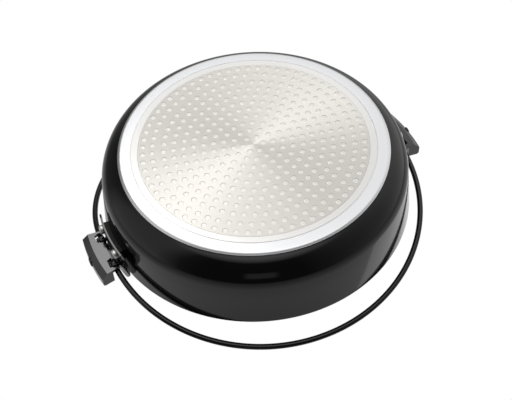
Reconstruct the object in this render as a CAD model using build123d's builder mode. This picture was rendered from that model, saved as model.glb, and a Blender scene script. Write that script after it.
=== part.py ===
"""Sukiyaki pan with two folding wire bails, built standing on its base.

The origin is the centre of the base, +Z is up and the ears lie on the X axis.
The front bail folds out towards -Y and the back bail towards +Y.
"""
from build123d import *
import math
import os

os.makedirs("parts", exist_ok=True)

# Pan body, measured from the base plane upwards
rim_height = 63.6
rim_radius = 133.0
rim_round = 1.2
wall_thickness = 3.0
wall_flare = 3.7
shoulder_top_radius = rim_radius - wall_flare
shoulder_top_height = 24.0
shoulder_mid_inset = 8.94
shoulder_mid_radius = rim_radius - shoulder_mid_inset
shoulder_mid_height = 10.37
foot_inset = 20.5
foot_edge_height = 1.6
foot_edge_radius = rim_radius - foot_inset
foot_flat_radius = foot_edge_radius - foot_edge_height
floor_height = 5.0
inner_corner_radius = 20.0

# Perforated induction disc let into the base, flush with the bare ring
bare_ring_width = 14.9
disc_radius = foot_flat_radius - bare_ring_width
disc_depth = 0.8
disc_side_gap = 0.1
groove_margin = 6.0
groove_radius = disc_radius + groove_margin
groove_width = 0.8
groove_depth = 0.3

# Holes of the disc in eleven rings, each filled by a stud of the pan
disc_hole_radius = 2.3
stud_side_gap = 0.05
stud_radius = disc_hole_radius - stud_side_gap
inner_ring_count = 9
inner_ring_margin = 21.48
inner_ring_pitch = (disc_radius - inner_ring_margin) / inner_ring_count
ring_ten_inset = 12.0
ring_eleven_inset = 4.0
holes_per_ring_step = 6
ring_start_angle = 15.9

# Ear bracket: a foot on the wall and an upright plate outside it
foot_half_angle = 7.6
foot_drop = 9.6
foot_tall = 11.0
foot_top = rim_height - foot_drop
foot_bottom = foot_top - foot_tall
plate_gap = 1.8
plate_thickness = 1.6
plate_inner_radius = rim_radius + plate_gap
plate_outer_radius = plate_inner_radius + plate_thickness
plate_rise = 3.4
plate_tall = 25.5
plate_top = rim_height + plate_rise
plate_bottom = plate_top - plate_tall
plate_half_length = 31.0
plate_corner_radius = 9.0
cut_reach = 30.0

# Rivets that hold the bracket on the wall
rivet_angle = 6.0
rivet_drop = 16.6
rivet_height = rim_height - rivet_drop
rivet_shank_radius = 2.5
rivet_head_radius = 4.0
rivet_head_length = 3.4
rivet_inner_head_radius = 4.5
rivet_inner_head_length = 1.6
rivet_seat_gap = 0.3
rivet_inset = 5.7
rivet_inner_start = rim_radius - rivet_inset
rivet_dome = 1.0
rivet_inner_dome = 0.9

# Bail wire with an eye at each end
pivot_offset = 14.5
pivot_drop = 2.6
pivot_height = rim_height - pivot_drop
bail_tilt = 11.0
wire_radius = 2.4
bail_side_gap = 0.2
bail_half_width = plate_outer_radius + wire_radius + bail_side_gap
bail_flattening = 6.4
bail_half_depth = bail_half_width - bail_flattening
bail_centre_shift = 1.9
eye_radius = 4.6

# Pivot pins, fixed in the bracket plate and headed outside the eyes
pin_radius = 2.0
pin_running_gap = 0.06
pin_tail = 0.9
pin_inner_end = plate_inner_radius - pin_tail
pin_end_gap = 0.3
pin_head_start = bail_half_width + wire_radius + pin_end_gap
pin_head_length = 1.5
pin_head_radius = 3.6

# Phenolic grip block, outwards from the bracket plate
block_half_angle = 8.83
block_drop = 7.2
block_tall = 13.6
block_under = rim_height - block_drop
block_top = block_under + block_tall
block_depth = 18.9
block_outer_radius = plate_outer_radius + block_depth
block_bevel_width = 5.3
block_edge_radius = block_outer_radius - block_bevel_width
block_bevel_drop = 4.9
block_bevel_height = block_under + block_bevel_drop
block_skirt = 10.3
block_pocket_radius = block_outer_radius - block_skirt
block_lip_gap = 1.6
block_lip_radius = plate_outer_radius + block_lip_gap
block_lip_step = 1.4
block_shelf = 2.8
block_shelf_top = block_under + block_shelf
block_top_chamfer = 1.4

# Stepped notches of the shelf, clear of the eyes and of the pin heads
notch_side_gap = 0.6
notch_deep_gap = 0.4
head_notch_deep_gap = 0.7
eye_notch_half_width = eye_radius + notch_side_gap
eye_notch_radius = bail_half_width + wire_radius + notch_deep_gap
head_notch_half_width = pin_head_radius + notch_side_gap
head_notch_radius = pin_head_start + pin_head_length + head_notch_deep_gap

# Pad that seats on the bracket plate between the bails, and the grip's screw
pad_half_angle = 3.7
pad_seat_gap = 0.05
pad_bite = 3.0
screw_rise = 7.2
screw_height = block_under + screw_rise
screw_shank_radius = 2.0
screw_head_radius = 4.0
screw_head_length = 2.6
screw_head_proud = 1.0
screw_seat_gap = 0.3
screw_seat_start = block_outer_radius + screw_head_proud - screw_head_length
screw_tail = 0.8
screw_inner_end = plate_inner_radius - screw_tail
edge_softening = 0.5

half_turn = 180.0
full_turn = 360.0


def wall_outside(height):
    """Outer wall radius at a height on the straight part of the wall."""
    slope = wall_flare / (rim_height - shoulder_top_height)
    return shoulder_top_radius + slope * (height - shoulder_top_height)


def on_arc(radius, degrees):
    """A point on a circle about the origin in the XY plane."""
    return (radius * math.cos(math.radians(degrees)), radius * math.sin(math.radians(degrees)))


def hole_positions():
    """The centres of the holes of the disc, ring after ring."""
    radii = [inner_ring_pitch * number for number in range(1, inner_ring_count + 1)]
    radii = radii + [disc_radius - ring_ten_inset, disc_radius - ring_eleven_inset]
    places = []
    for number, radius in enumerate(radii, start=1):
        holes = holes_per_ring_step * number
        for index in range(holes):
            places.append(on_arc(radius, ring_start_angle + full_turn * index / holes))
    return places


def radial_plane(angle, radius, height):
    """A plane at a point of the wall whose normal points straight outwards."""
    x, y = on_arc(radius, angle)
    outwards = on_arc(1, angle)
    across = (-outwards[1], outwards[0], 0)
    return Plane(origin=(x, y, height), x_dir=across, z_dir=(outwards[0], outwards[1], 0))


def axis_plane(distance, y, height):
    """A plane across the ear axis whose normal is +X."""
    return Plane(origin=(distance, y, height), x_dir=(0, 1, 0), z_dir=(1, 0, 0))


holes = hole_positions()

# Inside of the bowl: a corner arc tangent to the floor and to the wall
wall_lean = math.atan2(wall_flare, rim_height - shoulder_top_height)
wall_step = wall_thickness / math.cos(wall_lean)
corner_z = floor_height + inner_corner_radius
corner_x = wall_outside(corner_z) - wall_step - inner_corner_radius / math.cos(wall_lean)
corner_wall_x = corner_x + inner_corner_radius * math.cos(wall_lean)
corner_wall_z = corner_z - inner_corner_radius * math.sin(wall_lean)
corner_middle = (wall_lean + math.pi / 2) / 2
corner_mid_x = corner_x + inner_corner_radius * math.cos(corner_middle)
corner_mid_z = corner_z - inner_corner_radius * math.sin(corner_middle)
rim_inner_radius = rim_radius - wall_step

# The rim edge is a shallow crown
rim_side = rim_height - rim_round
crown_x = (rim_radius + rim_inner_radius) / 2

with BuildPart() as pan_body:
    with BuildSketch(Plane.XZ) as body_profile:
        with BuildLine() as body_outline:
            Line((0, 0), (foot_flat_radius, 0))
            Line((foot_flat_radius, 0), (foot_edge_radius, foot_edge_height))
            ThreePointArc(
                (foot_edge_radius, foot_edge_height),
                (shoulder_mid_radius, shoulder_mid_height),
                (shoulder_top_radius, shoulder_top_height),
            )
            Line((shoulder_top_radius, shoulder_top_height), (wall_outside(rim_side), rim_side))
            ThreePointArc(
                (wall_outside(rim_side), rim_side),
                (crown_x, rim_height),
                (wall_outside(rim_side) - wall_step, rim_side),
            )
            Line((wall_outside(rim_side) - wall_step, rim_side), (corner_wall_x, corner_wall_z))
            ThreePointArc(
                (corner_wall_x, corner_wall_z),
                (corner_mid_x, corner_mid_z),
                (corner_x, floor_height),
            )
            Line((corner_x, floor_height), (0, floor_height))
            Line((0, floor_height), (0, 0))
        make_face()
    revolve(axis=Axis.Z)
    # Recess for the disc, with the studs left standing in it
    with BuildSketch(Plane.XY) as recess:
        Circle(disc_radius + disc_side_gap)
        with Locations(*holes):
            Circle(stud_radius, mode=Mode.SUBTRACT)
    extrude(amount=disc_depth, mode=Mode.SUBTRACT)
    # Fine groove turned in the bare ring around the disc
    with BuildSketch(Plane.XY) as groove:
        Circle(groove_radius + groove_width / 2)
        Circle(groove_radius - groove_width / 2, mode=Mode.SUBTRACT)
    extrude(amount=groove_depth, mode=Mode.SUBTRACT)
    # Rivet holes with a flat seat for the heads inside the bowl
    for side in (0, half_turn):
        for angle in (side - rivet_angle, side + rivet_angle):
            with BuildSketch(radial_plane(angle, rivet_inner_start, rivet_height)) as shank_hole:
                Circle(rivet_shank_radius)
            extrude(amount=rivet_inset, mode=Mode.SUBTRACT)
            with BuildSketch(radial_plane(angle, rivet_inner_start, rivet_height)) as head_seat:
                Circle(rivet_inner_head_radius + rivet_seat_gap)
            extrude(amount=rivet_inner_head_length, mode=Mode.SUBTRACT)
pan_body.part.label = "pan_body"

with BuildPart() as induction_disc:
    with BuildSketch(Plane.XY) as disc_face:
        Circle(disc_radius)
        with Locations(*holes):
            Circle(disc_hole_radius, mode=Mode.SUBTRACT)
    extrude(amount=disc_depth)
induction_disc.part.label = "induction_disc"

with BuildPart() as bracket_right:
    # The plate: a ring segment trimmed to a round-cornered outline
    with BuildSketch(Plane.XY.offset(plate_bottom)) as plate_ring:
        Circle(plate_outer_radius)
        Circle(plate_inner_radius, mode=Mode.SUBTRACT)
    extrude(amount=plate_tall)
    plate_middle = (plate_top + plate_bottom) / 2
    with BuildSketch(axis_plane(plate_outer_radius - cut_reach, 0, plate_middle)) as plate_outline:
        RectangleRounded(2 * plate_half_length, plate_tall, plate_corner_radius)
    extrude(amount=2 * cut_reach, mode=Mode.INTERSECT)
    # The foot follows the leaning wall of the pan
    with BuildSketch(Plane.XZ.rotated((0, 0, -foot_half_angle))) as foot_profile:
        with BuildLine() as foot_outline:
            Polyline(
                (wall_outside(foot_bottom), foot_bottom),
                (plate_inner_radius, foot_bottom),
                (plate_inner_radius, foot_top),
                (wall_outside(foot_top), foot_top),
                close=True,
            )
        make_face()
    revolve(axis=Axis.Z, revolution_arc=2 * foot_half_angle)
    for angle in (-rivet_angle, rivet_angle):
        with BuildSketch(radial_plane(angle, rivet_inner_start, rivet_height)) as rivet_hole:
            Circle(rivet_shank_radius)
        extrude(amount=cut_reach, mode=Mode.SUBTRACT)
    for y in (-pivot_offset, pivot_offset):
        with BuildSketch(axis_plane(pin_inner_end, y, pivot_height)) as pin_hole:
            Circle(pin_radius)
        extrude(amount=cut_reach, mode=Mode.SUBTRACT)
    with BuildSketch(axis_plane(rim_radius, 0, screw_height)) as screw_hole:
        Circle(screw_shank_radius)
    extrude(amount=cut_reach, mode=Mode.SUBTRACT)
bracket_right.part.label = "bracket_right"

with BuildPart() as bracket_rivets_right:
    for angle in (-rivet_angle, rivet_angle):
        with BuildSketch(radial_plane(angle, rivet_inner_start, rivet_height)) as inner_head:
            Circle(rivet_inner_head_radius)
        extrude(amount=rivet_inner_head_length)
        with BuildSketch(radial_plane(angle, rivet_inner_start, rivet_height)) as shank:
            Circle(rivet_shank_radius)
        extrude(amount=plate_outer_radius - rivet_inner_start)
        with BuildSketch(radial_plane(angle, plate_outer_radius, rivet_height)) as outer_head:
            Circle(rivet_head_radius)
        extrude(amount=rivet_head_length)
    outer_rims = bracket_rivets_right.edges().filter_by(GeomType.CIRCLE)
    outermost = outer_rims.filter_by(
        lambda edge: edge.center().X > plate_outer_radius and edge.radius > rivet_shank_radius
    )
    fillet(outermost, rivet_dome)
    inner_rims = bracket_rivets_right.edges().filter_by(GeomType.CIRCLE)
    innermost = inner_rims.filter_by(
        lambda edge: math.hypot(edge.center().X, edge.center().Y) < rivet_inner_start + edge_softening
    )
    fillet(innermost, rivet_inner_dome)
bracket_rivets_right.part.label = "bracket_rivets_right"

with BuildPart() as grip_right:
    # Body of the block with its shelf, open above the shelf towards the pan
    with BuildSketch(Plane.XZ.rotated((0, 0, -block_half_angle))) as block_profile:
        with BuildLine() as block_outline:
            Polyline(
                (block_lip_radius, block_under),
                (block_edge_radius, block_under),
                (block_outer_radius, block_bevel_height),
                (block_outer_radius, block_top - block_top_chamfer),
                (block_outer_radius - block_top_chamfer, block_top),
                (block_pocket_radius, block_top),
                (block_pocket_radius, block_shelf_top),
                (block_lip_radius, block_shelf_top),
                close=True,
            )
        make_face()
    revolve(axis=Axis.Z, revolution_arc=2 * block_half_angle)
    # Between the eyes of the bails the shelf is a little shorter
    with BuildSketch(Plane.XY.offset(block_under)) as short_shelf:
        with Locations((block_lip_radius, 0)):
            Rectangle(2 * block_lip_step, 2 * pivot_offset)
    extrude(amount=block_tall, mode=Mode.SUBTRACT)
    # Stepped notches that leave the eyes free to turn on the headed pins
    for way in (-1, 1):
        with BuildSketch(Plane.XY.offset(block_under)) as notch:
            with Locations((block_lip_radius, way * pivot_offset)):
                Rectangle(2 * (eye_notch_radius - block_lip_radius), 2 * eye_notch_half_width)
                Rectangle(2 * (head_notch_radius - block_lip_radius), 2 * head_notch_half_width)
        extrude(amount=block_tall, mode=Mode.SUBTRACT)
    # Pad behind the shelf that seats on the bracket plate and takes the screw
    pad_start = plate_outer_radius + pad_seat_gap
    pad_end = block_pocket_radius + pad_bite
    with BuildSketch(Plane.XZ.rotated((0, 0, -pad_half_angle))) as pad_profile:
        with BuildLine() as pad_outline:
            Polyline(
                (pad_start, block_shelf_top),
                (pad_end, block_shelf_top),
                (pad_end, block_top - block_top_chamfer),
                (pad_start, block_top - block_top_chamfer),
                close=True,
            )
        make_face()
    revolve(axis=Axis.Z, revolution_arc=2 * pad_half_angle)
    with BuildSketch(axis_plane(plate_outer_radius, 0, screw_height)) as screw_bore:
        Circle(screw_shank_radius)
    extrude(amount=block_depth, mode=Mode.SUBTRACT)
    with BuildSketch(axis_plane(screw_seat_start, 0, screw_height)) as screw_seat:
        Circle(screw_head_radius + screw_seat_gap)
    extrude(amount=screw_head_length, mode=Mode.SUBTRACT)
grip_right.part.label = "grip_right"

with BuildPart() as grip_screw_right:
    with BuildSketch(axis_plane(screw_seat_start, 0, screw_height)) as screw_head:
        Circle(screw_head_radius)
    extrude(amount=screw_head_length)
    with BuildSketch(axis_plane(screw_inner_end, 0, screw_height)) as screw_shank:
        Circle(screw_shank_radius)
    extrude(amount=screw_seat_start - screw_inner_end)
    face_edges = grip_screw_right.edges().filter_by(GeomType.CIRCLE).sort_by(Axis.X)
    fillet(face_edges[-1], rivet_dome)
grip_screw_right.part.label = "grip_screw_right"

with BuildPart() as pin_front_right:
    with BuildSketch(axis_plane(pin_inner_end, -pivot_offset, pivot_height)) as pin_shank:
        Circle(pin_radius)
    extrude(amount=pin_head_start - pin_inner_end)
    with BuildSketch(axis_plane(pin_head_start, -pivot_offset, pivot_height)) as pin_head:
        Circle(pin_head_radius)
    extrude(amount=pin_head_length)
    pin_edges = pin_front_right.edges().filter_by(GeomType.CIRCLE).sort_by(Axis.X)
    fillet(pin_edges[-1], edge_softening)
pin_front_right.part.label = "pin_front_right"

with BuildPart() as front_bail:
    # The bail is flat; its plane leans up from the pivots by the resting angle
    lean = math.radians(bail_tilt)
    bail_plane = Plane(
        origin=(0, -pivot_offset, pivot_height),
        x_dir=(1, 0, 0),
        z_dir=(0, math.sin(lean), math.cos(lean)),
    )
    dip = math.degrees(math.asin(bail_centre_shift / bail_half_depth))
    with BuildLine(bail_plane) as bail_path:
        EllipticalCenterArc(
            (0, bail_centre_shift),
            bail_half_width,
            bail_half_depth,
            start_angle=half_turn + dip,
            arc_size=half_turn - 2 * dip,
        )
    path_wire = bail_path.wires()[0]
    path_start = path_wire @ 0
    path_way = path_wire % 0
    with BuildSketch(Plane(origin=path_start, z_dir=path_way)) as wire_section:
        Circle(wire_radius)
    sweep(path=path_wire)
    for way in (-1, 1):
        inner_side = way * bail_half_width - wire_radius
        with BuildSketch(axis_plane(inner_side, -pivot_offset, pivot_height)) as eye:
            Circle(eye_radius)
        extrude(amount=2 * wire_radius)
        with BuildSketch(axis_plane(inner_side - wire_radius, -pivot_offset, pivot_height)) as eye_hole:
            Circle(pin_radius + pin_running_gap)
        extrude(amount=4 * wire_radius, mode=Mode.SUBTRACT)
front_bail.part.label = "front_bail"


def turned(source, name):
    """The same piece at the opposite side, half a turn about the vertical."""
    with BuildPart() as copy:
        add(source.part, rotation=(0, 0, half_turn))
    copy.part.label = name
    return copy


def mirrored(source, name):
    """The same piece reflected front to back."""
    with BuildPart() as copy:
        mirror(source.part, about=Plane.XZ)
    copy.part.label = name
    return copy


pin_back_right = mirrored(pin_front_right, "pin_back_right")
pin_back_left = turned(pin_front_right, "pin_back_left")
pin_front_left = turned(pin_back_right, "pin_front_left")
bracket_left = turned(bracket_right, "bracket_left")
bracket_rivets_left = turned(bracket_rivets_right, "bracket_rivets_left")
grip_left = turned(grip_right, "grip_left")
grip_screw_left = turned(grip_screw_right, "grip_screw_left")
back_bail = turned(front_bail, "back_bail")

export_step(pan_body.part, "parts/pan_body.step")
export_step(induction_disc.part, "parts/induction_disc.step")
export_step(bracket_right.part, "parts/bracket_right.step")
export_step(bracket_left.part, "parts/bracket_left.step")
export_step(bracket_rivets_right.part, "parts/bracket_rivets_right.step")
export_step(bracket_rivets_left.part, "parts/bracket_rivets_left.step")
export_step(grip_right.part, "parts/grip_right.step")
export_step(grip_left.part, "parts/grip_left.step")
export_step(grip_screw_right.part, "parts/grip_screw_right.step")
export_step(grip_screw_left.part, "parts/grip_screw_left.step")
export_step(pin_front_right.part, "parts/pin_front_right.step")
export_step(pin_back_right.part, "parts/pin_back_right.step")
export_step(pin_front_left.part, "parts/pin_front_left.step")
export_step(pin_back_left.part, "parts/pin_back_left.step")
export_step(front_bail.part, "parts/front_bail.step")
export_step(back_bail.part, "parts/back_bail.step")
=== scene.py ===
"""Blender scene of the sukiyaki pan: shapes, finishes, light and camera.

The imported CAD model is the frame. The pan stands on its base with +Z up, and
the photograph shows it upside down, so the main camera looks up at the base.
Sizes are in millimetres and angles in degrees, where nothing else is said.
"""

import logging
import math
from dataclasses import dataclass, field
from enum import Enum
from typing import Callable, Sequence

import bmesh
import bpy
from mathutils import Matrix, Vector

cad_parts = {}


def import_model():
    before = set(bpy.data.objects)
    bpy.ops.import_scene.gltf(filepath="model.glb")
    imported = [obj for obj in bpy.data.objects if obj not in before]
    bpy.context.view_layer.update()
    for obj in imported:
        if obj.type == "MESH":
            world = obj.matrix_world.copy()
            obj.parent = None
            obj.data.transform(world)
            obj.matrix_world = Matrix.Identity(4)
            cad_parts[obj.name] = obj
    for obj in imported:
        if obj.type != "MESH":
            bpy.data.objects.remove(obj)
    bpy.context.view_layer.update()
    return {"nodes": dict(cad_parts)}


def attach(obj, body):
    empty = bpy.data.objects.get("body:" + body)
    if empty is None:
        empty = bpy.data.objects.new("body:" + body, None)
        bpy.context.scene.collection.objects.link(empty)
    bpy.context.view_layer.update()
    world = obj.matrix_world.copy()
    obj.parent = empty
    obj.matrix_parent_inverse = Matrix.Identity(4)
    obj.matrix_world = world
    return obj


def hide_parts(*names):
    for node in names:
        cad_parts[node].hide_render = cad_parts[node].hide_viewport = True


logging.basicConfig(level=logging.INFO, format="%(name)s: %(message)s")
log = logging.getLogger("sukiyaki_pan")

MM = 0.001
Point = tuple[float, float, float]
Colour = tuple[float, float, float, float]
Steps = tuple[tuple[float, float], ...]


# Turns a shape that was modelled up along Z so that it points along X
LAY_DOWN = Matrix.Rotation(math.pi / 2, 4, "Y")


class Ear(Enum):
    """The two ears of the pan, by the turn about Z that they stand at."""

    RIGHT = 0.0
    LEFT = 180.0

    @property
    def label(self) -> str:
        """The ear's name, as the nodes hold it."""
        return self.name.lower()

    @property
    def turn(self) -> Matrix:
        """Takes what was modelled on the right to this ear."""
        return Matrix.Rotation(math.radians(self.value), 4, "Z")


class Fold(Enum):
    """The two bails, by the sign of Y that they fold out towards."""

    FRONT = -1
    BACK = 1

    @property
    def label(self) -> str:
        """The bail's name, as the nodes hold it."""
        return self.name.lower()


@dataclass(frozen=True)
class Ring:
    """One ring of a turned shape: its radius and height in millimetres."""

    radius: float
    height: float


def rings_from(start: Ring, steps: Steps) -> list[Ring]:
    """Rings of a turned edge, by how far out and how far up from a start each lies."""
    return [Ring(start.radius + out, start.height + up) for out, up in steps]


# Mesh helpers


def deselect_all() -> None:
    """Leaves nothing selected in object mode."""
    if bpy.context.object is not None and bpy.context.object.mode != "OBJECT":
        bpy.ops.object.mode_set(mode="OBJECT")
    bpy.ops.object.select_all(action="DESELECT")


def make_active(piece: bpy.types.Object) -> None:
    """Selects one object alone and makes it the active one."""
    deselect_all()
    piece.select_set(True)
    bpy.context.view_layer.objects.active = piece


def enter_edit(piece: bpy.types.Object, mode: str = "VERT") -> None:
    """Opens a piece in edit mode with nothing selected.

    Args:
        piece: The mesh object to edit.
        mode: VERT, EDGE or FACE, the kind of element to select.
    """
    make_active(piece)
    bpy.ops.object.mode_set(mode="EDIT")
    bpy.ops.mesh.select_mode(type=mode)
    bpy.ops.mesh.select_all(action="DESELECT")


def leave_edit() -> None:
    """Returns to object mode."""
    bpy.ops.object.mode_set(mode="OBJECT")


def select_faces(piece: bpy.types.Object, test: Callable[[bmesh.types.BMFace], bool]) -> int:
    """Selects the faces that pass a test, in edit mode.

    Args:
        piece: The mesh object, open in edit mode.
        test: Says whether a face is wanted.

    Returns:
        How many faces were selected.
    """
    mesh = bmesh.from_edit_mesh(piece.data)
    count = 0
    for face in mesh.faces:
        face.select_set(test(face))
        count += int(face.select)
    mesh.select_flush_mode()
    bmesh.update_edit_mesh(piece.data)
    return count


def paint_faces(piece: bpy.types.Object, slot: int, test: Callable[[bmesh.types.BMFace], bool]) -> None:
    """Gives the faces that pass a test one of the piece's finishes, in edit mode.

    Args:
        piece: The mesh object, open in edit mode.
        slot: The number of the finish among the piece's material slots.
        test: Says whether a face is wanted.
    """
    if select_faces(piece, test):
        piece.active_material_index = slot
        bpy.ops.object.material_slot_assign()


def outward_normals(piece: bpy.types.Object) -> None:
    """Merges doubled points and turns every face outwards."""
    doubled_within = 0.000002
    enter_edit(piece)
    bpy.ops.mesh.select_all(action="SELECT")
    bpy.ops.mesh.remove_doubles(threshold=doubled_within)
    bpy.ops.mesh.normals_make_consistent(inside=False)
    leave_edit()


def smooth(piece: bpy.types.Object, degrees: float = 35.0) -> None:
    """Shades a piece smooth, with edges sharper than an angle kept crisp."""
    make_active(piece)
    bpy.ops.object.shade_smooth_by_angle(angle=math.radians(degrees))


def soften_edges(piece: bpy.types.Object, width: float, segments: int, degrees: float = 30.0) -> None:
    """Rounds a piece's edges with an applied bevel.

    Args:
        piece: The mesh object.
        width: Width of the bevel in millimetres.
        segments: How many faces make the round.
        degrees: Edges sharper than this are rounded.
    """
    make_active(piece)
    bevel = piece.modifiers.new("Softened edges", "BEVEL")
    bevel.width = width * MM
    bevel.segments = segments
    bevel.limit_method = "ANGLE"
    bevel.angle_limit = math.radians(degrees)
    bevel.harden_normals = False
    bpy.ops.object.modifier_apply(modifier=bevel.name)


def even_normals(piece: bpy.types.Object, weight: int = 80) -> None:
    """Lets a piece's large faces rule the shading by a weight, so they look flat."""
    make_active(piece)
    evener = piece.modifiers.new("Even normals", "WEIGHTED_NORMAL")
    evener.weight = weight
    evener.keep_sharp = True
    bpy.ops.object.modifier_apply(modifier=evener.name)


def cut_away(piece: bpy.types.Object, cutter: bpy.types.Object) -> None:
    """Takes a cutter's volume out of a piece and deletes the cutter."""
    make_active(piece)
    cut = piece.modifiers.new("Cut", "BOOLEAN")
    cut.operation = "DIFFERENCE"
    cut.solver = "EXACT"
    cut.object = cutter
    bpy.ops.object.modifier_apply(modifier=cut.name)
    bpy.data.objects.remove(cutter, do_unlink=True)


def join_on(piece: bpy.types.Object, other: bpy.types.Object) -> None:
    """Unites another piece's volume with a piece and deletes the other."""
    make_active(piece)
    unite = piece.modifiers.new("Unite", "BOOLEAN")
    unite.operation = "UNION"
    unite.solver = "EXACT"
    unite.object = other
    bpy.ops.object.modifier_apply(modifier=unite.name)
    bpy.data.objects.remove(other, do_unlink=True)


def joined(pieces: Sequence[bpy.types.Object]) -> bpy.types.Object:
    """Joins pieces into the first of them, as loose parts of one mesh."""
    make_active(pieces[0])
    for piece in pieces[1:]:
        piece.select_set(True)
    bpy.ops.object.join()
    return pieces[0]


def place_in_mesh(piece: bpy.types.Object) -> None:
    """Moves an object's place, turn and size into its mesh."""
    make_active(piece)
    bpy.ops.object.transform_apply(location=True, rotation=True, scale=True)


def copy_of(piece: bpy.types.Object, name: str, change: Matrix) -> bpy.types.Object:
    """A copy with its own mesh, moved by a matrix.

    Args:
        piece: The piece to copy.
        name: The name of the copy.
        change: The turn and the move that take it to its place.

    Returns:
        The new object, with its place in its mesh.
    """
    twin = piece.copy()
    twin.data = piece.data.copy()
    twin.name = name
    twin.data.name = name
    bpy.context.scene.collection.objects.link(twin)
    twin.data.transform(change)
    return twin


def named_primitive(name: str) -> bpy.types.Object:
    """Names the primitive that was just added and moves its place into its mesh."""
    piece = bpy.context.object
    piece.name = name
    piece.data.name = name
    place_in_mesh(piece)
    return piece


def turn_profile(name: str, rings: Sequence[Ring], segments: int) -> bpy.types.Object:
    """Turns a closed skin about Z from rings, each extruded from the last.

    Args:
        name: The name of the new piece.
        rings: The rings in order; a radius of 0 closes that end in a point.
        segments: How many sides the turned shape has.

    Returns:
        The new mesh object, with outward normals.
    """
    start = rings[0]
    tip = 0.02 * MM
    radius = max(start.radius * MM, tip)
    height = start.height * MM
    deselect_all()
    bpy.ops.mesh.primitive_circle_add(
        vertices=segments, radius=radius, fill_type="NOTHING", location=(0.0, 0.0, height),
    )
    piece = named_primitive(name)
    enter_edit(piece, "EDGE")
    bpy.ops.mesh.select_all(action="SELECT")
    if start.radius == 0.0:
        bpy.ops.mesh.edge_face_add()
    for ring in rings[1:]:
        new_radius = max(ring.radius * MM, tip)
        new_height = ring.height * MM
        bpy.ops.mesh.extrude_region_move(
            MESH_OT_extrude_region={"use_dissolve_ortho_edges": False},
            TRANSFORM_OT_translate={"value": (0.0, 0.0, new_height - height)},
        )
        factor = new_radius / radius
        bpy.ops.transform.resize(value=(factor, factor, 1.0), center_override=(0.0, 0.0, new_height))
        radius, height = new_radius, new_height
    if rings[-1].radius == 0.0:
        bpy.ops.mesh.edge_face_add()
    leave_edit()
    outward_normals(piece)
    return piece


def arc_rings(centre: Ring, radius: float, start: float, end: float, steps: int) -> list[Ring]:
    """Rings along an arc of a profile.

    Args:
        centre: The centre of the arc.
        radius: The radius of the arc in millimetres.
        start: The first angle in degrees, from straight outwards, up positive.
        end: The last angle in degrees.
        steps: How many rings follow the first.

    Returns:
        The rings, both ends included.
    """
    rings = []
    for step in range(steps + 1):
        angle = math.radians(start + (end - start) * step / steps)
        out, up = radius * math.cos(angle), radius * math.sin(angle)
        rings.append(Ring(centre.radius + out, centre.height + up))
    return rings


def spin_section(name: str, section: Sequence[Ring], half_angle: float, steps: int) -> bpy.types.Object:
    """Spins a flat section about the pan's axis, to both sides of the X axis.

    Args:
        name: The name of the new piece.
        section: The corners of the section, in order.
        half_angle: How far the sweep reaches to each side.
        steps: How many slices it has.

    Returns:
        The new mesh object, with outward normals.
    """
    deselect_all()
    # The circle only gives the section its number of corners, which are then moved
    bpy.ops.mesh.primitive_circle_add(vertices=len(section), radius=10.0 * MM, fill_type="NGON")
    piece = named_primitive(name)
    start = math.radians(-half_angle)
    for point, corner in zip(piece.data.vertices, section):
        radius = corner.radius * MM
        point.co = (radius * math.cos(start), radius * math.sin(start), corner.height * MM)
    enter_edit(piece, "FACE")
    bpy.ops.mesh.select_all(action="SELECT")
    # A negative angle spins counter-clockwise about +Z
    bpy.ops.mesh.spin(
        steps=steps, angle=math.radians(-2 * half_angle), center=(0.0, 0.0, 0.0), axis=(0.0, 0.0, 1.0),
    )
    leave_edit()
    outward_normals(piece)
    return piece


def add_rod(name: str, radius: float, start: Point, length: float, sides: int) -> bpy.types.Object:
    """A round rod that runs along +X.

    Args:
        name: The name of the new piece.
        radius: Its radius.
        start: The centre of the end that it starts at.
        length: Its length.
        sides: How many sides it has.

    Returns:
        The new mesh object with its place in its mesh.
    """
    x, y, z = start
    deselect_all()
    bpy.ops.mesh.primitive_cylinder_add(
        vertices=sides, radius=radius * MM, depth=length * MM,
        location=((x + length / 2) * MM, y * MM, z * MM), rotation=(0.0, math.pi / 2, 0.0),
    )
    return named_primitive(name)


def add_block(name: str, low: Point, high: Point) -> bpy.types.Object:
    """A box between two corners."""
    centre = [(a + b) / 2 * MM for a, b in zip(low, high)]
    deselect_all()
    bpy.ops.mesh.primitive_cube_add(size=1.0, location=centre)
    bpy.context.object.scale = [(b - a) * MM for a, b in zip(low, high)]
    return named_primitive(name)


# Shader helpers


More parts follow.
